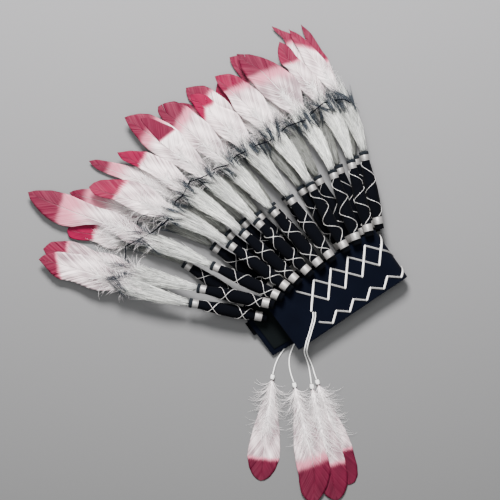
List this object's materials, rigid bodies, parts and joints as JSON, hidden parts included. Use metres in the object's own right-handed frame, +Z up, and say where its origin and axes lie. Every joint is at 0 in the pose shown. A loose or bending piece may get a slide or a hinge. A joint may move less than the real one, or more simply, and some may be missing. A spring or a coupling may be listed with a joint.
{
  "type": "feathered headdress",
  "caption": "Folded felt browband with silver zigzag trims and a fan of wrapped spikes that end in fur plumes and dyed white feathers, with feather drops on cords.",
  "frame": {"origin": "on the ground, under the middle of the headdress, measured without its hanging drops", "axes": "+X along the browband from its open ends towards the front fold, +Y from the lower rim towards the feathers, +Z up, out of the surface that the headdress lies on"},
  "size_m": [0.4296, 0.525, 0.0445],
  "materials": {
    "navy_felt": "matt felt",
    "lining_cloth": "matt cloth",
    "tab_cloth": "matt cloth",
    "silver_ribbon": "metallic woven ribbon",
    "white_feather": "soft feather, tips dyed red",
    "white_cord": "soft cotton cord"
  },
  "bodies": {
    "root": {"browband": "navy_felt", "lining": "lining_cloth", "closure_tab": "tab_cloth", "diamond_trim": "silver_ribbon", "rim_trim": "silver_ribbon", "sleeve_a": "navy_felt", "plume_feather_a": "white_feather", "sleeve_b": "navy_felt", "plume_feather_b": "white_feather", "sleeve_c": "navy_felt", "plume_feather_c": "white_feather", "sleeve_d": "navy_felt", "plume_feather_d": "white_feather", "sleeve_e": "navy_felt", "plume_feather_e": "white_feather", "sleeve_f": "navy_felt", "plume_feather_f": "white_feather", "sleeve_g": "navy_felt", "plume_feather_g": "white_feather", "sleeve_h": "navy_felt", "plume_feather_h": "white_feather", "sleeve_i": "navy_felt", "plume_feather_i": "white_feather", "sleeve_j": "navy_felt", "plume_feather_j": "white_feather", "sleeve_k": "navy_felt", "plume_feather_k": "white_feather", "sleeve_l": "navy_felt", "plume_feather_l": "white_feather", "back_sleeve_b": "navy_felt", "back_plume_feather_b": "white_feather", "back_sleeve_c": "navy_felt", "back_plume_feather_c": "white_feather", "back_sleeve_d": "navy_felt", "back_plume_feather_d": "white_feather", "back_sleeve_e": "navy_felt", "back_plume_feather_e": "white_feather", "back_sleeve_f": "navy_felt", "back_plume_feather_f": "white_feather", "back_sleeve_g": "navy_felt", "back_plume_feather_g": "white_feather", "back_sleeve_h": "navy_felt", "back_plume_feather_h": "white_feather", "back_sleeve_i": "navy_felt", "back_plume_feather_i": "white_feather", "back_sleeve_j": "navy_felt", "back_plume_feather_j": "white_feather", "back_sleeve_k": "navy_felt", "back_plume_feather_k": "white_feather", "back_sleeve_l": "navy_felt", "back_plume_feather_l": "white_feather", "drop_cord_1": "white_cord", "drop_cord_2": "white_cord", "drop_cord_3": "white_cord", "drop_cord_4": "white_cord", "drop_feather_1": "white_feather", "drop_feather_2": "white_feather", "drop_feather_3": "white_feather", "drop_feather_4": "white_feather"}
  },
  "joints": []
}
